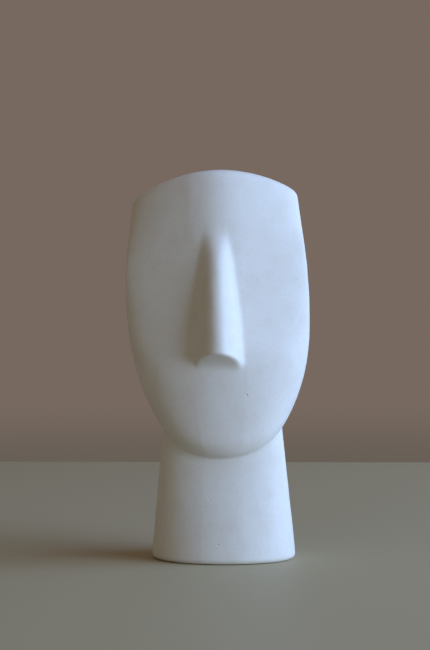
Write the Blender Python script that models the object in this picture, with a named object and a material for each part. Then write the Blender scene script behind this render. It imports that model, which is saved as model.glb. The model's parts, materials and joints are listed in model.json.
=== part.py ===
"""A head on a long neck, after the marble heads of the Cycladic islands: a shield of a face with
nothing on it but a long wedge of a nose, cast in one piece and standing on the foot of its neck.

Metres, +Z up. The origin is the middle of the flat foot, and the face looks along -Y.
The figure is one loft between unlike rings of points. The rings climb the neck, turn out under the
chin, climb the face and the back of the head together, and close over the crown. Each ring has a
front half and a back half with the same stations across, from -1 at the left to +1 at the right.
"""

import math

import bmesh
import bpy
import numpy as np

# The whole figure.
HEIGHT = 0.2200

# How far the hand-worked form strays from symmetry, towards +X.
JAW_SWAY = -0.0007
LIP_SWAY = -0.0015
CHEEK_SWAY = -0.0040
CROWN_SWAY = -0.0055
CROWN_TILT = 0.052  # as a slope
NOSE_SWAY = -0.0012  # of the nose's foot, from the middle of the face
NOSE_SLANT = 0.0016  # of the nose's top, from its foot

# The neck and its flat foot.
FOOT_WIDTH = 0.0825
FOOT_FRONT = 0.0275
FOOT_BACK = 0.0290
FOOT_ROUNDING = 0.0032
NECK_WIDTH = 0.0678
NECK_FRONT = 0.0180
NECK_BACK = 0.0215
NECK_SQUARENESS = 2.1  # 2 is an oval, and more is squarer

# The chin, which overhangs the neck by a short ledge with a rounded lip.
CHIN_HEIGHT = 0.0588
CHIN_ROUNDING = 0.0098  # how high the rounded underside climbs
CHIN_CREASE = 0.0020
JAW_RISE = 0.0157  # from the point of the chin to where the jaw leaves the neck

# The face, as seen from the front.
FACE_WIDTH = 0.1043
CHEEK_HEIGHT = 0.1605  # where the face is widest
JAW_FULLNESS = 3.0
TEMPLE_BLEND = 0.0180  # how softly the cheeks turn into the straighter temples
CROWN_WIDTH = 0.0942
CROWN_RISE = 0.0128  # from where the crown would meet the sides to its top

# The head, as seen from the side: how far forward or back of the foot's middle.
CHIN_FRONT = 0.0288
LIP_FRONT = 0.0302
BROW_FRONT = 0.0240
CROWN_FRONT = 0.0170
JAW_EDGE_FRONT = 0.0040
CHEEK_EDGE_FRONT = 0.0090
CROWN_EDGE_FRONT = -0.0010
HEAD_BACK = 0.0265
CROWN_BACK = 0.0205
CROWN_FALL = 0.0040  # how much lower the crown is at the back
CROWN_ROUNDING = 0.0056
CROWN_BACK_ROUNDING = 0.0090
CROWN_CORNER_ROUNDING = 0.0028
BACK_SQUARENESS = 2.3
NOTCH_TIGHTNESS = 40  # how fast the notch beside the jaw fades towards the nape
NAPE_BLEND = 0.0060  # how softly the back widens from the neck into the head

# How the face falls away from its middle to its edge.
CHEEK_FALL = 0.29  # as a share of the half width
CHEEK_FOOT = 0.1290  # above it the face has the cheeks' form
CHEEK_FOOT_SOFTNESS = 0.22
MOUTH_HEIGHT = 0.0990  # below it the face has the chin's form
CHIN_FALL = 0.22  # as a share of the half width
CHIN_SOFTNESS = 1.20  # a large one is a plain arch across, and a small one a keel
BRIDGE_HEIGHT = 0.1440
BRIDGE_SOFTNESS = 0.15
FOREHEAD_SOFTNESS = 0.36
EDGE_TIGHTNESS = 8  # a large one turns the edge sharply
CHIN_EDGE_TIGHTNESS = 4.6

# The nose.
NOSE_TOP = 0.1830
NOSE_TIP = 0.1162
NOSE_BROW_RELIEF = 0.0030
NOSE_TIP_RELIEF = 0.0132
NOSE_TOP_WIDTH = 0.0135
NOSE_FOOT_WIDTH = 0.0268
NOSE_FLARE = 1.5  # 1 widens evenly down the nose, and more widens it sooner
NOSE_UNDERSIDE = 0.0100  # how far the underside climbs from the lip to the tip
NOSE_HOLLOW = 2.7  # 1 is a flat underside, and more is a hollow one
NOSE_LIP_TILT = 0.0005  # how much lower the lip is at the right corner, and higher at the left
NOSE_RIDGE_ROUNDNESS = 1.7  # a small one is a sharp keel
NOSE_RIDGE_LEAN = 0.09  # how far the ridge strays towards +X, as a share of the half width
NOSE_LEFT_FULLNESS = 1.25  # how full the left flank is, where 1 is as full as the right one
NOSE_START_SLOPE = 0.38
NOSE_START_BLEND = 0.0018
NOSE_SIDE_BLEND = 0.25
NOSE_TIP_BLEND = 0.0036
NOSE_LIP_BLEND = 0.0014

# How finely the loft is divided.
NOSE_COLUMNS = 20
NOSE_SPREAD = math.radians(18.5)
SIDE_COLUMNS = 8
ROUND_ROWS = 4
CREASE_ROWS = 2
NECK_ROWS = 9
JAW_ROWS = 8
UNDERSIDE_ROWS = 13
BRIDGE_ROWS = 14
FOREHEAD_ROWS = 6
CROWN_ROWS = 4
TIP_MARGIN = 0.0035  # how far above the nose's tip its close rows go on
MERGE_DISTANCE = 0.00002
SHARP_ANGLE = math.radians(50.0)

CORNER_HEIGHT = HEIGHT - CROWN_RISE
JAW_HEIGHT = CHIN_HEIGHT + JAW_RISE
LIP_HEIGHT = NOSE_TIP - NOSE_UNDERSIDE
QUARTER_TURN = math.pi / 2.0


def soft_positive(value, blend):
    """The value where it is above 0 and 0 elsewhere, with the corner rounded by a parabola."""
    bend = np.clip(value + blend, 0.0, 2.0 * blend)
    return bend * bend / (4.0 * blend) + np.clip(value - blend, 0.0, None)


def soft_least(first, second, blend):
    """The smaller of two values, with the corner where they cross rounded."""
    return first - soft_positive(first - second, blend)


def curve_through(height, *stations):
    """The value at a height on a smooth curve through (height, value) stations."""
    heights, values = np.transpose(stations)
    rises = np.diff(values) / np.diff(heights)
    slopes = [rises[0]]
    for before, after in zip(rises, rises[1:]):
        turns = before * after <= 0.0
        slopes.append(0.0 if turns else 2.0 * before * after / (before + after))
    slopes = np.array(slopes + [rises[-1]])
    i = np.clip(np.searchsorted(heights, height) - 1, 0, len(rises) - 1)
    span = heights[i + 1] - heights[i]
    t = (height - heights[i]) / span
    start = values[i] * (1.0 + 2.0 * t) + slopes[i] * span * t
    end = values[i + 1] * (3.0 - 2.0 * t) + slopes[i + 1] * span * (t - 1.0)
    return start * (1.0 - t) ** 2 + end * t * t


def rounded_edge(distance, radius):
    """How far a rounded edge has drawn in, at a distance from where the surface ends."""
    left = np.clip(radius - distance, 0.0, radius)
    return radius - np.sqrt(radius * radius - left * left)


def rounding_steps(radius, count):
    """Distances from a rounded edge's end that turn by equal angles, without the last."""
    return [radius * (1.0 - math.cos(i / count * QUARTER_TURN)) for i in range(count)]


def squared_arc(across, squareness):
    """A half oval's depth, 1 in the middle and 0 at its ends."""
    return np.clip(1.0 - np.abs(across) ** squareness, 0.0, 1.0) ** (1.0 / squareness)


def stations_across():
    """Where the columns of a ring stand across it, closest together over the nose."""
    nose = np.linspace(-NOSE_SPREAD, NOSE_SPREAD, NOSE_COLUMNS + 1)
    side = np.linspace(NOSE_SPREAD, QUARTER_TURN, SIDE_COLUMNS + 1)[1:]
    return np.sin(np.concatenate([-side[::-1], nose, side]))


def chin_line(across):
    """The height of the chin's edge: an arc of an ellipse that runs on into the jaw's outline."""
    widening = JAW_FULLNESS * (FACE_WIDTH - NECK_WIDTH) / (CHEEK_HEIGHT - JAW_HEIGHT)
    end = JAW_RISE / (NECK_WIDTH / widening - JAW_RISE)
    depth = JAW_RISE / (1.0 - end)
    return CHIN_HEIGHT + depth * (1.0 - np.sqrt(1.0 - (1.0 - end * end) * across * across))


def crown_line(across):
    """The height of the crown: an arc of a circle, tilted a little."""
    x = across * CROWN_WIDTH / 2.0
    radius = ((CROWN_WIDTH / 2.0) ** 2 + CROWN_RISE**2) / (2.0 * CROWN_RISE)
    top = HEIGHT - radius * CROWN_TILT**2 / 2.0
    return top - radius + np.sqrt(radius * radius - x * x) + CROWN_TILT * x


def crown_fall(depth):
    """How far the crown has dropped below its front edge."""
    share = np.clip((depth + CROWN_FRONT) / (CROWN_BACK + CROWN_FRONT), 0.0, 1.0)
    return CROWN_FALL * share * share


def edge_height(share):
    """The height of a head ring's two ends."""
    return JAW_HEIGHT + (CORNER_HEIGHT - JAW_HEIGHT) * share


def middle_height(share):
    """The height of a head ring's middle."""
    return CHIN_HEIGHT + (HEIGHT - CHIN_HEIGHT) * share


def sway(height):
    """How far the middle of the figure has strayed sideways."""
    return curve_through(
        height,
        (0.0, 0.0),
        (JAW_HEIGHT, JAW_SWAY),
        (LIP_HEIGHT, LIP_SWAY),
        (CHEEK_HEIGHT, CHEEK_SWAY),
        (HEIGHT, CROWN_SWAY),
    )


def face_half_width(height):
    """Half the face's width, at a height of its edge."""
    below = max(CHEEK_HEIGHT - height, 0.0) / (CHEEK_HEIGHT - JAW_HEIGHT)
    above = soft_positive(height - CHEEK_HEIGHT, TEMPLE_BLEND) / (CORNER_HEIGHT - CHEEK_HEIGHT)
    narrowed = (FACE_WIDTH - NECK_WIDTH) * below**JAW_FULLNESS
    return (FACE_WIDTH - narrowed - (FACE_WIDTH - CROWN_WIDTH) * above) / 2.0


def neck_half_width(height):
    """Half the neck's width, which goes on tapering evenly inside the head."""
    return (FOOT_WIDTH + (NECK_WIDTH - FOOT_WIDTH) * height / JAW_HEIGHT) / 2.0


def back_half_width(across, height):
    """Half the width of the back, where the notch beside the jaw fades into the nape."""
    neck = neck_half_width(height)
    face = face_half_width(height)
    sharp = face if height > JAW_HEIGHT else neck
    smooth = neck + soft_positive(face - neck, NAPE_BLEND)
    return smooth + (sharp - smooth) * np.abs(across) ** NOTCH_TIGHTNESS


def widest_line(height):
    """How far forward the widest line of the figure runs."""
    return curve_through(
        height,
        (0.0, 0.0),
        (JAW_HEIGHT, JAW_EDGE_FRONT),
        (LIP_HEIGHT, CHEEK_EDGE_FRONT),
        (CHEEK_HEIGHT, CHEEK_EDGE_FRONT),
        (CORNER_HEIGHT, CROWN_EDGE_FRONT),
    )


def back_line(height):
    """How far back the middle of the figure's back runs, down the head and the nape."""
    return curve_through(
        height,
        (0.0, FOOT_BACK),
        (JAW_HEIGHT, NECK_BACK),
        (CHEEK_HEIGHT, HEAD_BACK),
        (CORNER_HEIGHT, CROWN_BACK),
    )


def back_points(across, height, inset, squareness):
    """The back half of a ring whose ends are at this height."""
    edge = -widest_line(height)
    x = across * (back_half_width(across, height) - inset)
    depth = edge + (back_line(height) - inset - edge) * squared_arc(across, squareness)
    return np.stack([x, depth, np.full_like(across, height)], axis=1)


def chin_share(height):
    """How much of the chin's form the face has: none at the cheeks' foot, all at the mouth."""
    share = np.clip((CHEEK_FOOT - height) / (CHEEK_FOOT - MOUTH_HEIGHT), 0.0, 1.0)
    return share * share * (3.0 - 2.0 * share)


def face_depth(across, share):
    """The face's depth across one of its rings, without the nose."""
    middle = curve_through(
        middle_height(share),
        (CHIN_HEIGHT, CHIN_FRONT),
        (LIP_HEIGHT, LIP_FRONT),
        (NOSE_TOP, BROW_FRONT),
        (HEIGHT, CROWN_FRONT),
    )
    softness = curve_through(
        middle_height(share),
        (CHIN_HEIGHT, CHIN_SOFTNESS),
        (MOUTH_HEIGHT, CHIN_SOFTNESS),
        (CHEEK_FOOT, CHEEK_FOOT_SOFTNESS),
        (BRIDGE_HEIGHT, BRIDGE_SOFTNESS),
        (HEIGHT, FOREHEAD_SOFTNESS),
    )
    height = edge_height(share)
    chin = chin_share(middle_height(share))
    cheek = (CHEEK_FALL + (CHIN_FALL - CHEEK_FALL) * chin) * face_half_width(height)
    tightness = EDGE_TIGHTNESS + (CHIN_EDGE_TIGHTNESS - EDGE_TIGHTNESS) * chin
    span = math.sqrt(1.0 + softness * softness) - softness
    fall = (np.sqrt(across * across + softness * softness) - softness) / span
    roll = 1.0 - np.sqrt(1.0 - np.abs(across) ** tightness)
    return cheek * fall + (middle - widest_line(height) - cheek) * roll - middle


def nose_ridge(height):
    """How far the nose's ridge stands out: a short rise below the brow, then a long slope."""
    below = NOSE_TOP - height
    slope = (NOSE_TIP_RELIEF - NOSE_BROW_RELIEF) / (NOSE_TOP - NOSE_TIP)
    ridge = soft_least(NOSE_START_SLOPE * below, NOSE_BROW_RELIEF + slope * below, NOSE_START_BLEND)
    return soft_positive(ridge, NOSE_START_BLEND)


def nose_relief(x, height):
    """How far the nose stands out of the face."""
    left = np.clip((height - NOSE_TIP) / (NOSE_TOP - NOSE_TIP), 0.0, 1.0)
    width = NOSE_FOOT_WIDTH - (NOSE_FOOT_WIDTH - NOSE_TOP_WIDTH) * left**NOSE_FLARE
    beside = 2.0 * (x - NOSE_SWAY - NOSE_SLANT * left) / width
    corner = np.clip(beside, -1.0, 1.0)
    beside = beside - NOSE_RIDGE_LEAN * (1.0 - corner * corner)
    beside = np.where(beside < 0.0, -np.abs(beside) ** NOSE_LEFT_FULLNESS, beside)
    fall = math.hypot(1.0, NOSE_RIDGE_ROUNDNESS) - np.hypot(beside, NOSE_RIDGE_ROUNDNESS)
    arch = fall / (math.hypot(1.0, NOSE_RIDGE_ROUNDNESS) - NOSE_RIDGE_ROUNDNESS)
    ridge = nose_ridge(height) * soft_positive(arch, NOSE_SIDE_BLEND)
    lip = LIP_HEIGHT - NOSE_LIP_TILT * corner
    climb = soft_positive(height - lip, NOSE_LIP_BLEND) / NOSE_UNDERSIDE
    underside = NOSE_TIP_RELIEF * climb**NOSE_HOLLOW
    return np.clip(soft_least(ridge, underside, NOSE_TIP_BLEND), 0.0, None)


def neck_ring(across, share):
    """A ring of the neck, from the flat foot (0) to the chin's edge and the nape (1)."""
    climb = share**3
    height = CHIN_HEIGHT * share + JAW_RISE * climb
    inset = rounded_edge(CHIN_HEIGHT * share, FOOT_ROUNDING)
    half_width = neck_half_width(height) - inset
    edge = widest_line(height)
    arc = squared_arc(across, NECK_SQUARENESS)
    front = FOOT_FRONT + (NECK_FRONT - FOOT_FRONT) * share - inset
    crease = rounded_edge(CHIN_HEIGHT * (1.0 - share), CHIN_CREASE) * arc
    front_height = CHIN_HEIGHT * share + (chin_line(across) - CHIN_HEIGHT) * climb
    front_depth = -edge - (front - edge) * arc - crease
    front_half = np.stack([across * half_width, front_depth, front_height], axis=1)
    return front_half, back_points(across, height, inset, NECK_SQUARENESS)


def head_ring(across, share):
    """A ring of the head, from the chin's edge and the nape (0) to the crown's edge (1)."""
    height = edge_height(share)
    half_width = face_half_width(height)
    x = across * half_width
    crown = crown_line(across)
    chin = chin_line(across)
    front_height = chin + (crown - chin) * share
    overhang = CHIN_FRONT - NECK_FRONT - CHIN_CREASE
    lip = rounded_edge(front_height - chin, CHIN_ROUNDING) * overhang / CHIN_ROUNDING
    lip = lip * np.sqrt(1.0 - np.abs(across) ** CHIN_EDGE_TIGHTNESS)
    front_depth = face_depth(across, share) + lip - nose_relief(x, front_height)
    front_half = np.stack([x, front_depth, front_height], axis=1)
    squareness = NECK_SQUARENESS + (BACK_SQUARENESS - NECK_SQUARENESS) * share
    back_half = back_points(across, height, 0.0, squareness)
    back_half[:, 2] = JAW_HEIGHT + (crown - JAW_HEIGHT) * share
    to_end = (HEIGHT - CHIN_HEIGHT) * (1.0 - share)
    bulk = squared_arc(across, BACK_SQUARENESS)
    for half, rounding in ((front_half, CROWN_ROUNDING), (back_half, CROWN_BACK_ROUNDING)):
        radius = CROWN_CORNER_ROUNDING + (rounding - CROWN_CORNER_ROUNDING) * bulk
        draw_in(half, across, share, rounded_edge(to_end, radius))
    return front_half, back_half


def draw_in(half, across, share, inset):
    """Draws half a ring in and up by the crown's rounding, and drops it towards the back."""
    middle = (CROWN_BACK - CROWN_FRONT) / 2.0
    reach = (CROWN_BACK + CROWN_FRONT) / 2.0
    narrowing = 1.0 - inset / (CROWN_WIDTH / 2.0)
    half[:, 0] *= narrowing
    half[:, 2] += crown_line(across * narrowing) - crown_line(across)
    half[:, 1] = middle + (half[:, 1] - middle) * (1.0 - inset / reach)
    half[:, 2] -= crown_fall(half[:, 1]) * share**3


def crown_ring(across, share):
    """A ring of the crown's top, from its rounded edge (0) to the seam where it closes (1)."""
    front_half, back_half = head_ring(across, 1.0)
    for half in (front_half, back_half):
        half[:, 2] += crown_fall(half[:, 1])
    seam = (front_half + back_half) / 2.0
    for half in (front_half, back_half):
        half += (seam - half) * share
        half[:, 2] -= crown_fall(half[:, 1])
    return front_half, back_half


def row_shares():
    """The shares at which the rings of the neck, the head and the crown's top stand."""
    foot = [step / CHIN_HEIGHT for step in rounding_steps(FOOT_ROUNDING, ROUND_ROWS)]
    crease = [1.0 - step / CHIN_HEIGHT for step in rounding_steps(CHIN_CREASE, CREASE_ROWS)]
    start, end = FOOT_ROUNDING / CHIN_HEIGHT, 1.0 - CHIN_CREASE / CHIN_HEIGHT
    neck = foot + list(np.linspace(start, end, NECK_ROWS + 1)) + crease[::-1]
    reach = HEIGHT - CHIN_HEIGHT
    marks = [
        (CHIN_ROUNDING, JAW_ROWS),
        (LIP_HEIGHT - CHIN_HEIGHT - NOSE_LIP_TILT, UNDERSIDE_ROWS),
        (NOSE_TIP + TIP_MARGIN - CHIN_HEIGHT, BRIDGE_ROWS),
        (NOSE_TOP - CHIN_HEIGHT, FOREHEAD_ROWS),
        (reach - CROWN_ROUNDING, 0),
    ]
    head = [step / reach for step in rounding_steps(CHIN_ROUNDING, ROUND_ROWS)]
    for (low, count), (high, _) in zip(marks, marks[1:]):
        head += list(np.linspace(low, high, count + 1)[:-1] / reach)
    crown = [1.0 - step / reach for step in rounding_steps(CROWN_ROUNDING, ROUND_ROWS)]
    head += [1.0 - CROWN_ROUNDING / reach] + crown[::-1]
    return neck, head, list(np.linspace(0.0, 1.0, CROWN_ROWS + 1)[1:])


def build_rings():
    """Every ring of the figure, from the foot to the seam over the crown."""
    across = stations_across()
    neck, head, crown = row_shares()
    rings = [neck_ring(across, share) for share in neck]
    rings += [head_ring(across, share) for share in head]
    rings += [crown_ring(across, share) for share in crown]
    for halves in rings:
        for half in halves:
            half[:, 0] += [sway(height) for height in half[:, 2]]
    return rings


def loft(rings):
    """One closed mesh through the rings, with a flat face under the foot."""
    bm = bmesh.new()
    rows = []
    for front, back in rings:
        points = np.concatenate([front, back[-2:0:-1]])
        rows.append([bm.verts.new(point) for point in points])
    for low, high in zip(rows, rows[1:]):
        for i in range(len(low)):
            j = (i + 1) % len(low)
            bm.faces.new((low[i], low[j], high[j], high[i]))
    bm.faces.new(rows[0][::-1])
    bmesh.ops.remove_doubles(bm, verts=bm.verts, dist=MERGE_DISTANCE)
    bmesh.ops.dissolve_degenerate(bm, edges=bm.edges, dist=MERGE_DISTANCE)
    bmesh.ops.recalc_face_normals(bm, faces=bm.faces)
    mesh = bpy.data.meshes.new("cycladic_head")
    bm.to_mesh(mesh)
    bm.free()
    return mesh


def cast_white():
    """Matt white casting plaster."""
    material = bpy.data.materials.new("white_casting_plaster")
    material.use_nodes = True
    shader = material.node_tree.nodes["Principled BSDF"]
    shader.inputs["Base Color"].default_value = (0.72, 0.72, 0.70, 1.0)
    shader.inputs["Roughness"].default_value = 0.55
    shader.inputs["Metallic"].default_value = 0.0
    return material


def main():
    """Clears the scene and leaves the figure in a collection of its own."""
    for obj in list(bpy.data.objects):
        bpy.data.objects.remove(obj, do_unlink=True)
    collection = bpy.data.collections.new("Cycladic head")
    bpy.context.scene.collection.children.link(collection)
    mesh = loft(build_rings())
    mesh.materials.append(cast_white())
    mesh.shade_smooth()
    mesh.set_sharp_from_angle(angle=SHARP_ANGLE)
    collection.objects.link(bpy.data.objects.new("cycladic_head", mesh))


main()
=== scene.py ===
"""A cast head in the Cycladic manner, dressed and lit for its portrait.

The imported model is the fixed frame: metres, +Z up, the foot on Z = 0 and the face towards -Y.
The casting is modelled over that solid as a fine skin, with the slightly uneven surface that hand
sanding leaves and the small air bubbles that open when plaster is cast. It stands on a pale floor,
in cool daylight from two windows and a skylight at the right and in the dim warm light of a room.
"""

import json
import logging
import math
from dataclasses import dataclass, field
from enum import Enum

import bpy
import numpy as np
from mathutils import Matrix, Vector
from mathutils.bvhtree import BVHTree

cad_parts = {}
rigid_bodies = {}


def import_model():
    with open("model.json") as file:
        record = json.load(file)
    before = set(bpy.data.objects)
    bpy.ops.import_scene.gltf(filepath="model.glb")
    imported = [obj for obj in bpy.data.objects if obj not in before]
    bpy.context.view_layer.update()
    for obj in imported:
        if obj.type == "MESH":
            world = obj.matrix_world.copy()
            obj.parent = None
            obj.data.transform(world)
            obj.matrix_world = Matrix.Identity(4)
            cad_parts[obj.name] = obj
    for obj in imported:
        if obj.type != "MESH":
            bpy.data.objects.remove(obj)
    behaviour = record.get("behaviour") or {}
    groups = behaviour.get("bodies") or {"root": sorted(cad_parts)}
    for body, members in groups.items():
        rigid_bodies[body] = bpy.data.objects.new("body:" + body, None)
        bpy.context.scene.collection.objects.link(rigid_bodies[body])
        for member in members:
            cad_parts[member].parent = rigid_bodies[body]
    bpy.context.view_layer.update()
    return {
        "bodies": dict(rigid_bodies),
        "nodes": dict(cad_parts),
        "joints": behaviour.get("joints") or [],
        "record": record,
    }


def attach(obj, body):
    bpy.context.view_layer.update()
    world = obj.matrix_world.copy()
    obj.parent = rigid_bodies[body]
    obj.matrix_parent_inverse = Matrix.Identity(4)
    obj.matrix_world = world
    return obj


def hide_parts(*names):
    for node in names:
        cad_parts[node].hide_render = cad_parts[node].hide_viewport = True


LOG = logging.getLogger("cast_head")
MM = 0.001

# A mix node has sockets for every kind of value. These are the numbers of those for colours.
MIX_LOW, MIX_HIGH, MIX_RESULT = 6, 7, 2

Rgba = tuple[float, float, float, float]
Colour = Rgba | bpy.types.NodeSocket  # plain, or the socket that gives it
Span = tuple[float, float]


def linear(hex_colour: str) -> Rgba:
    """Turns an sRGB colour to the linear one that shaders take, by the curve of the sRGB standard.

    Args:
        hex_colour: Six hex digits with a leading hash.

    Returns:
        Red, green and blue as linear light, and an alpha of 1.
    """
    channels = [int(hex_colour[i : i + 2], 16) / 255.0 for i in (1, 3, 5)]
    lit = [c / 12.92 if c <= 0.04045 else ((c + 0.055) / 1.055) ** 2.4 for c in channels]
    return (lit[0], lit[1], lit[2], 1.0)


def add_node(
    tree: bpy.types.NodeTree,
    kind: str,
    settings: dict[str, object] | None = None,
    inputs: dict[str | int, object] | None = None,
) -> bpy.types.Node:
    """Adds a shader node with its settings, values and links.

    Args:
        tree: The node tree that gets the node.
        kind: The node's class name.
        settings: Values for the node's own properties.
        inputs: For each input's name or number, a plain value or the output socket that feeds it.

    Returns:
        The new node.
    """
    node = tree.nodes.new(kind)
    for name, value in (settings or {}).items():
        setattr(node, name, value)
    for key, value in (inputs or {}).items():
        if isinstance(value, bpy.types.NodeSocket):
            tree.links.new(value, node.inputs[key])
        else:
            node.inputs[key].default_value = value
    return node


def blend(
    tree: bpy.types.NodeTree,
    value: bpy.types.NodeSocket,
    span: Span,
    low: Colour,
    high: Colour,
    most: float = 1.0,
) -> bpy.types.NodeSocket:
    """Blends two colours by a value, smoothly.

    Args:
        tree: The node tree.
        value: The value, such as a noise.
        span: Where on the value the blend starts and ends.
        low: The colour below the span.
        high: The colour above the span.
        most: How far the blend goes at the end of the span.

    Returns:
        The blended colour.
    """
    share = add_node(
        tree,
        "ShaderNodeMapRange",
        {"interpolation_type": "SMOOTHSTEP"},
        {"Value": value, "From Min": span[0], "From Max": span[1], "To Max": most},
    )
    mix = add_node(
        tree,
        "ShaderNodeMix",
        {"data_type": "RGBA"},
        {"Factor": share.outputs["Result"], MIX_LOW: low, MIX_HIGH: high},
    )
    return mix.outputs[MIX_RESULT]


def select_only(obj: bpy.types.Object) -> None:
    """Leaves this object alone selected and active.

    Args:
        obj: The object to work on next.
    """
    bpy.ops.object.select_all(action="DESELECT")
    bpy.context.view_layer.objects.active = obj
    obj.select_set(True)


def apply_modifier(obj: bpy.types.Object, kind: str, **settings: object) -> None:
    """Adds a modifier, sets it up and applies it.

    Args:
        obj: The object that it shapes.
        kind: The modifier's type.
        **settings: Values for its properties.
    """
    select_only(obj)
    modifier = obj.modifiers.new(kind.lower(), kind)
    for name, value in settings.items():
        setattr(modifier, name, value)
    bpy.ops.object.modifier_apply(modifier=modifier.name)


def select_faces(mesh: bpy.types.Mesh, chosen: np.ndarray) -> None:
    """Selects faces in object mode, for the next edit.

    Args:
        mesh: The mesh to select in.
        chosen: One truth value for each face.
    """
    mesh.vertices.foreach_set("select", np.zeros(len(mesh.vertices), bool))
    mesh.edges.foreach_set("select", np.zeros(len(mesh.edges), bool))
    mesh.polygons.foreach_set("select", chosen)
    mesh.update()


def points_of(mesh: bpy.types.Mesh) -> np.ndarray:
    """Reads where the mesh's points are.

    Args:
        mesh: The mesh to read.

    Returns:
        A row of X, Y and Z for each point.
    """
    points = np.empty(len(mesh.vertices) * 3)
    mesh.vertices.foreach_get("co", points)
    return points.reshape(-1, 3)


def face_values(mesh: bpy.types.Mesh, name: str) -> np.ndarray:
    """Reads a vector that every face has.

    Args:
        mesh: The mesh to read.
        name: The vector's name, such as center or normal.

    Returns:
        A row of X, Y and Z for each face.
    """
    values = np.empty(len(mesh.polygons) * 3)
    mesh.polygons.foreach_get(name, values)
    return values.reshape(-1, 3)


def way_out(azimuth: float, climb: float = 0.0) -> Vector:
    """Finds a direction away from the piece.

    Args:
        azimuth: Its angle from straight in front of the face, towards the camera's right.
        climb: Its angle above level.

    Returns:
        The direction, one metre long.
    """
    return Vector(
        (
            math.sin(azimuth) * math.cos(climb),
            -math.cos(azimuth) * math.cos(climb),
            math.sin(climb),
        )
    )


def set_up(name: str, data: bpy.types.ID, place: Vector, away: Vector) -> bpy.types.Object:
    """Sets up a light or a camera, turned towards the piece.

    Args:
        name: Its name.
        data: The light's or the camera's settings.
        place: Where it stands or hangs.
        away: The direction away from the piece, against which it looks.

    Returns:
        The new object.
    """
    obj = bpy.data.objects.new(name, data)
    obj.location = place
    obj.rotation_euler = (-away).to_track_quat("-Z", "Y").to_euler()
    bpy.context.scene.collection.objects.link(obj)
    return obj


class Side(Enum):
    """The side of the casting that a bubble opens on, as the camera sees it: the way in from there."""

    FRONT = (0.0, 1.0, 0.0)
    BACK = (0.0, -1.0, 0.0)
    LEFT = (1.0, 0.0, 0.0)
    RIGHT = (-1.0, 0.0, 0.0)

    @property
    def inward(self) -> Vector:
        """The way in, one metre long."""
        return Vector(self.value)

    @property
    def across(self) -> Vector:
        """The level axis along the side: X on the front and the back, Y on the others."""
        return Vector((abs(self.value[1]), abs(self.value[0]), 0.0))


@dataclass(frozen=True)
class Bubble:
    """A small air bubble that opens on the surface as a shallow round pit."""

    along: float  # its place on the level axis along its side
    height: float
    bore: float
    side: Side = Side.FRONT
    hollow: float = 0.35  # its depth, as a share of the bore

    @property
    def depth(self) -> float:
        """How deep the pit is."""
        return self.bore * self.hollow

    @property
    def radius(self) -> float:
        """The radius of the ball that cuts a pit of this bore and depth."""
        return (self.bore**2 / 4.0 + self.depth**2) / (2.0 * self.depth)


@dataclass(frozen=True)
class Unevenness:
    """The soft lumps and hollows of one size that hand sanding leaves."""

    name: str
    size: float
    depth: float  # from the lowest hollow to the highest lump
    layers: int = 1  # finer layers in the noise that gives them
    middle: float = 0.5  # the noise's value at which the surface stays where it was


@dataclass(frozen=True)
class Pattern:
    """A cloudy noise in a finish."""

    size: float  # of its largest clouds
    roughness: float  # how strongly the finer clouds show in them
    detail: float = 4.0  # how many layers of finer clouds


@dataclass(frozen=True)
class Tint:
    """A colour that a pattern brings in over the one below it."""

    colour: str
    span: Span  # where on the pattern it starts to come in, and where it has come in fully
    most: float  # its share where it has come in fully


@dataclass(frozen=True)
class CastPlaster:
    """Hard white casting plaster, poured in a mould, sanded and sealed to a soft sheen.

    Sealed plaster looks dense and chalky white, gives a broad soft highlight, and is a little warmer
    where handling has yellowed the sealer.
    """

    name: str = "white_casting_plaster"
    body: str = "#ebe9e3"
    ior: float = 1.52
    clouds: Pattern = Pattern(13.0 * MM, 0.6)
    handled: Tint = Tint("#e0dacd", (0.42, 0.72), 0.35)
    gloss_span: Span = (0.3, 0.7)  # where on the clouds the roughness is lowest and highest
    roughness: Span = (0.56, 0.70)
    grit: Pattern = Pattern(1.4 * MM, 0.75)  # drawn coarser than the true 0.2 mm so that it shows
    gritty: Tint = Tint("#d3cec2", (0.48, 0.80), 0.5)
    grain: Pattern = Pattern(1.1 * MM, 0.65)  # the faint tooth that sandpaper leaves, also coarser
    grain_depth: float = 0.06 * MM
    grain_strength: float = 0.5

    def build(self) -> bpy.types.Material:
        """Makes the material.

        Returns:
            The finished material.
        """
        material = bpy.data.materials.new(self.name)
        material.use_nodes = True
        tree = material.node_tree
        shader = tree.nodes["Principled BSDF"]
        place = add_node(tree, "ShaderNodeTexCoord").outputs["Object"]
        clouds, grit, grain = (
            add_node(
                tree,
                "ShaderNodeTexNoise",
                inputs={
                    "Vector": place,
                    "Scale": 1.0 / pattern.size,
                    "Detail": pattern.detail,
                    "Roughness": pattern.roughness,
                },
            ).outputs["Fac"]
            for pattern in (self.clouds, self.grit, self.grain)
        )
        colour = linear(self.body)
        for tint, noise in ((self.handled, clouds), (self.gritty, grit)):
            colour = blend(tree, noise, tint.span, colour, linear(tint.colour), tint.most)
        gloss = add_node(
            tree,
            "ShaderNodeMapRange",
            inputs={
                "Value": clouds,
                "From Min": self.gloss_span[0],
                "From Max": self.gloss_span[1],
                "To Min": self.roughness[0],
                "To Max": self.roughness[1],
            },
        )
        bump = add_node(
            tree,
            "ShaderNodeBump",
            inputs={"Height": grain, "Strength": self.grain_strength, "Distance": self.grain_depth},
        )
        shader.inputs["IOR"].default_value = self.ior
        shader.inputs["Metallic"].default_value = 0.0
        tree.links.new(colour, shader.inputs["Base Color"])
        tree.links.new(gloss.outputs["Result"], shader.inputs["Roughness"])
        tree.links.new(bump.outputs["Normal"], shader.inputs["Normal"])
        return material


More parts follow.
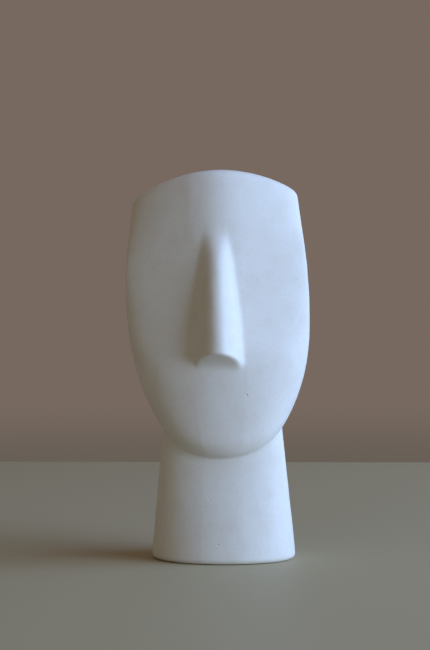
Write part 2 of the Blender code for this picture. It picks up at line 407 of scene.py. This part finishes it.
@dataclass(frozen=True)
class PaleFloor:
    """A smooth board, pale and plain, painted in matt emulsion.

    Matt paint gives the eye one even, warm tone, with no more than a dull sheen where light skims it.
    """

    name: str = "pale_matt_board"
    paint: str = "#b5a888"
    roughness: float = 0.6

    def build(self) -> bpy.types.Material:
        """Makes the material.

        Returns:
            The finished material.
        """
        material = bpy.data.materials.new(self.name)
        material.use_nodes = True
        shader = material.node_tree.nodes["Principled BSDF"]
        shader.inputs["Base Color"].default_value = linear(self.paint)
        shader.inputs["Roughness"].default_value = self.roughness
        return material


@dataclass
class CastHead:
    """The casting: a fine skin over the solid head and neck."""

    node: str = "cycladic_head"
    merge: float = 0.01 * MM  # points closer than this become one
    foot_height: float = 0.1 * MM  # faces below this that face straight down are the foot
    straight_down: float = -0.99  # the Z under which a normal counts as that
    foot_angle: float = math.radians(1.0)  # faces of the foot that meet at less become one
    foot_rings: int = 3
    foot_ring_width: float = 6.0 * MM
    quad_fold: float = math.radians(60.0)  # the most that the triangles of a quad may fold
    quad_skew: float = math.radians(120.0)  # the most that its corners may be out of square
    levels: int = 2  # of subdivision
    unevenness: tuple[Unevenness, ...] = (
        Unevenness("sanding", 16.0 * MM, 0.22 * MM),
        Unevenness("ripple", 5.0 * MM, 0.075 * MM),
    )
    flat_below: float = 0.5 * MM  # up to this height the skin isn't uneven at all
    free_above: float = 6.0 * MM  # and from this height on fully
    rim_angle: float = math.radians(45.0)  # edges sharper than this aren't shaded smooth
    bubble_segments: int = 20  # round the ball that cuts a bubble
    finish: CastPlaster = field(default_factory=CastPlaster)
    bubbles: tuple[Bubble, ...] = (
        Bubble(12.8 * MM, 94.0 * MM, 1.5 * MM),
        Bubble(-7.4 * MM, 35.2 * MM, 1.2 * MM),
        Bubble(-20.1 * MM, 20.7 * MM, 1.0 * MM),
        Bubble(-2.7 * MM, 11.0 * MM, 1.3 * MM),
        Bubble(-31.0 * MM, 128.0 * MM, 0.9 * MM),
        Bubble(9.0 * MM, 32.0 * MM, 1.2 * MM, Side.BACK),
        Bubble(-18.0 * MM, 71.0 * MM, 1.0 * MM, Side.BACK),
        Bubble(25.0 * MM, 118.0 * MM, 1.4 * MM, Side.BACK),
        Bubble(-9.0 * MM, 163.0 * MM, 0.9 * MM, Side.BACK),
        Bubble(5.0 * MM, 25.0 * MM, 1.0 * MM, Side.LEFT),
        Bubble(7.0 * MM, 101.0 * MM, 1.2 * MM, Side.LEFT),
        Bubble(4.0 * MM, 44.0 * MM, 1.1 * MM, Side.RIGHT),
        Bubble(12.0 * MM, 139.0 * MM, 1.2 * MM, Side.RIGHT),
    )

    def build(self, frame: dict) -> bpy.types.Object:
        """Models the casting.


        Returns:
            The finished piece.
        """
        head = self.copy_solid(frame["nodes"][self.node])
        self.finish_surface(head)
        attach(head, "root")
        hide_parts(self.node)
        return head

    def copy_solid(self, solid: bpy.types.Object) -> bpy.types.Object:
        """Makes a copy of the solid, for the skin to start from.

        Args:
            solid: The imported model's node.

        Returns:
            The copy, with its own mesh.
        """
        head = bpy.data.objects.new("casting", solid.data.copy())
        bpy.context.scene.collection.objects.link(head)
        return head

    def finish_surface(self, head: bpy.types.Object) -> None:
        """Takes the copy from plain facets to the finished and dressed skin.

        Args:
            head: The copy of the solid.
        """
        self.rebuild_quads(head)
        apply_modifier(head, "SUBSURF", levels=self.levels, render_levels=self.levels)
        self.wear(head)
        self.open_bubbles(head)
        select_only(head)
        bpy.ops.object.shade_smooth_by_angle(angle=self.rim_angle)
        head.data.materials.clear()
        head.data.materials.append(self.finish.build())

    def rebuild_quads(self, head: bpy.types.Object) -> None:
        """Merges the loose triangles and joins them into the rows and columns of the form.

        Args:
            head: The copy of the solid.
        """
        select_only(head)
        bpy.ops.object.mode_set(mode="EDIT")
        bpy.ops.mesh.select_all(action="SELECT")
        bpy.ops.mesh.remove_doubles(threshold=self.merge)
        bpy.ops.mesh.normals_make_consistent(inside=False)
        bpy.ops.object.mode_set(mode="OBJECT")
        if head.data.has_custom_normals:
            bpy.ops.mesh.customdata_custom_splitnormals_clear()
        self.ring_foot(head)
        bpy.ops.object.mode_set(mode="EDIT")
        bpy.ops.mesh.select_all(action="SELECT")
        bpy.ops.mesh.tris_convert_to_quads(
            face_threshold=self.quad_fold, shape_threshold=self.quad_skew
        )
        bpy.ops.object.mode_set(mode="OBJECT")

    def ring_foot(self, head: bpy.types.Object) -> None:
        """Makes the foot one flat face with rings in it, so that it subdivides evenly.

        Args:
            head: The copy of the solid, merged.
        """
        facing_down = face_values(head.data, "normal")[:, 2] < self.straight_down
        low = face_values(head.data, "center")[:, 2] < self.foot_height
        select_faces(head.data, facing_down & low)
        bpy.ops.object.mode_set(mode="EDIT")
        bpy.ops.mesh.dissolve_limited(angle_limit=self.foot_angle)
        for _ in range(self.foot_rings):
            bpy.ops.mesh.inset(thickness=self.foot_ring_width)
        bpy.ops.object.mode_set(mode="OBJECT")

    def wear(self, head: bpy.types.Object) -> None:
        """Gives the skin the faint unevenness of a surface sanded by hand, and leaves the foot flat.

        Args:
            head: The skin.
        """
        heights = points_of(head.data)[:, 2]
        share = np.clip((heights - self.flat_below) / (self.free_above - self.flat_below), 0.0, 1.0)
        group = head.vertex_groups.new(name="above_foot")
        for i, weight in enumerate(share):
            group.add([i], float(weight), "REPLACE")
        for relief in self.unevenness:
            texture = bpy.data.textures.new(relief.name, "CLOUDS")
            texture.noise_scale = relief.size
            texture.noise_depth = relief.layers
            apply_modifier(
                head,
                "DISPLACE",
                texture=texture,
                texture_coords="LOCAL",
                strength=relief.depth,
                mid_level=relief.middle,
                vertex_group=group.name,
            )
        head.vertex_groups.clear()

    def open_bubbles(self, head: bpy.types.Object) -> None:
        """Cuts each air bubble with a small ball, of which only the lowest part reaches in.

        Args:
            head: The skin.
        """
        surface = BVHTree.FromObject(head, bpy.context.evaluated_depsgraph_get())
        balls = []
        for bubble in self.bubbles:
            inward, across = bubble.side.inward, bubble.side.across
            start = across * bubble.along + Vector((0.0, 0.0, bubble.height)) - inward
            mouth, outward, _, _ = surface.ray_cast(start, inward)
            bpy.ops.mesh.primitive_uv_sphere_add(
                segments=self.bubble_segments,
                ring_count=self.bubble_segments // 2,
                radius=bubble.radius,
                location=mouth + outward * (bubble.radius - bubble.depth),
            )
            balls.append(bpy.context.object)
        bpy.ops.object.select_all(action="DESELECT")
        for ball in balls:
            ball.select_set(True)
        bpy.ops.object.join()
        cutter = bpy.context.object
        apply_modifier(head, "BOOLEAN", object=cutter, operation="DIFFERENCE", solver="MANIFOLD")
        bpy.data.objects.remove(cutter)


@dataclass(frozen=True)
class Lamp:
    """A soft rectangular light that hangs round the piece and faces it."""

    name: str
    colour: str
    power: float  # watts
    azimuth: float  # from straight in front of the face, towards the camera's right
    climb: float  # above level
    width: float = 1.4
    tall: float = 0.9
    distance: float = 2.2

    def hang(self, aim: Vector) -> None:
        """Hangs the light.

        Args:
            aim: The point that it faces.
        """
        data = bpy.data.lights.new(self.name, "AREA")
        data.shape = "RECTANGLE"
        data.size, data.size_y = self.width, self.tall
        data.energy = self.power
        data.color = linear(self.colour)[:3]
        away = way_out(self.azimuth, self.climb)
        set_up(self.name, data, aim + away * self.distance, away)


@dataclass
class Stage:
    """The floor and the light."""

    half_side: float = 0.52  # of the floor
    floor: PaleFloor = field(default_factory=PaleFloor)
    wall: str = "#776960"
    # painted shadow: the wall is darker near the floor's far edge, standing in for the shade where wall
    # meets floor
    painted_wall_foot_shadow: str = "#685f56"
    wall_foot_shadow_fade: Span = (-0.105, -0.055)  # climbs, as sines, between which it lightens
    camera_side: str = "#7b7161"
    side_fade: Span = (-0.5, 0.6)  # directions, as their Y, between which it turns into the wall
    aim_height: float = 0.12  # of the point that the lamps face
    lamps: tuple[Lamp, ...] = (
        Lamp("near_window", "#bfd9ff", 34.0, math.radians(60.0), math.radians(5.0)),
        Lamp("far_window", "#a2c8ff", 30.0, math.radians(86.0), math.radians(25.0)),
        Lamp("skylight", "#a2c8ff", 12.5, math.radians(76.0), math.radians(50.0)),
    )

    def build(self) -> None:
        """Lays the floor and hangs the lights."""
        self.lay_floor()
        self.light_room()
        for lamp in self.lamps:
            lamp.hang(Vector((0.0, 0.0, self.aim_height)))

    def lay_floor(self) -> None:
        """Lays the plain pale floor, level with the foot."""
        bpy.ops.object.select_all(action="DESELECT")
        bpy.ops.mesh.primitive_plane_add(size=2.0 * self.half_side, location=(0.0, 0.0, 0.0))
        floor = bpy.context.object
        floor.name = "floor"
        floor.data.materials.append(self.floor.build())

    def light_room(self) -> None:
        """Fills the room with dim warm light, of one tone from the wall and one from the camera's side,
        the wall with a painted shadow at its foot.
        """
        world = bpy.data.worlds.new("room")
        bpy.context.scene.world = world
        world.use_nodes = True
        tree = world.node_tree
        direction = add_node(tree, "ShaderNodeTexCoord").outputs["Generated"]
        parts = add_node(tree, "ShaderNodeSeparateXYZ", inputs={"Vector": direction}).outputs
        # the wall darkens towards the floor's far edge: a painted shadow where the wall meets the floor
        wall = blend(tree, parts["Z"], self.wall_foot_shadow_fade, linear(self.painted_wall_foot_shadow), linear(self.wall))
        room = blend(tree, parts["Y"], self.side_fade, linear(self.camera_side), wall)
        tree.links.new(room, tree.nodes["Background"].inputs["Color"])


@dataclass
class PhotoCamera:
    """The camera, at the photograph's viewing angle."""

    distance: float = 0.75
    height: float = 0.1325
    azimuth: float = math.radians(1.0)
    aside: float = -0.0050  # towards its own right
    focal_length: float = 72.72  # mm, on a sensor 36 mm long
    nearest: float = 0.01  # how near it still sees

    def build(self) -> None:
        """Places the camera level with the middle of the face."""
        data = bpy.data.cameras.new("camera")
        data.lens = self.focal_length
        data.clip_start = self.nearest
        away = way_out(self.azimuth)
        right = Vector((math.cos(self.azimuth), math.sin(self.azimuth), 0.0))
        place = away * self.distance + right * self.aside + Vector((0.0, 0.0, self.height))
        bpy.context.scene.camera = set_up("camera", data, place, away)


def main() -> None:
    """Builds the portrait in order."""
    logging.basicConfig(level=logging.INFO, format="%(name)s: %(message)s")
    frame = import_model()
    bpy.context.scene.view_settings.view_transform = "Standard"
    casting = CastHead().build(frame)
    LOG.info("%s: %d faces", casting.name, len(casting.data.polygons))
    Stage().build()
    PhotoCamera().build()


if __name__ == "__main__":
    main()
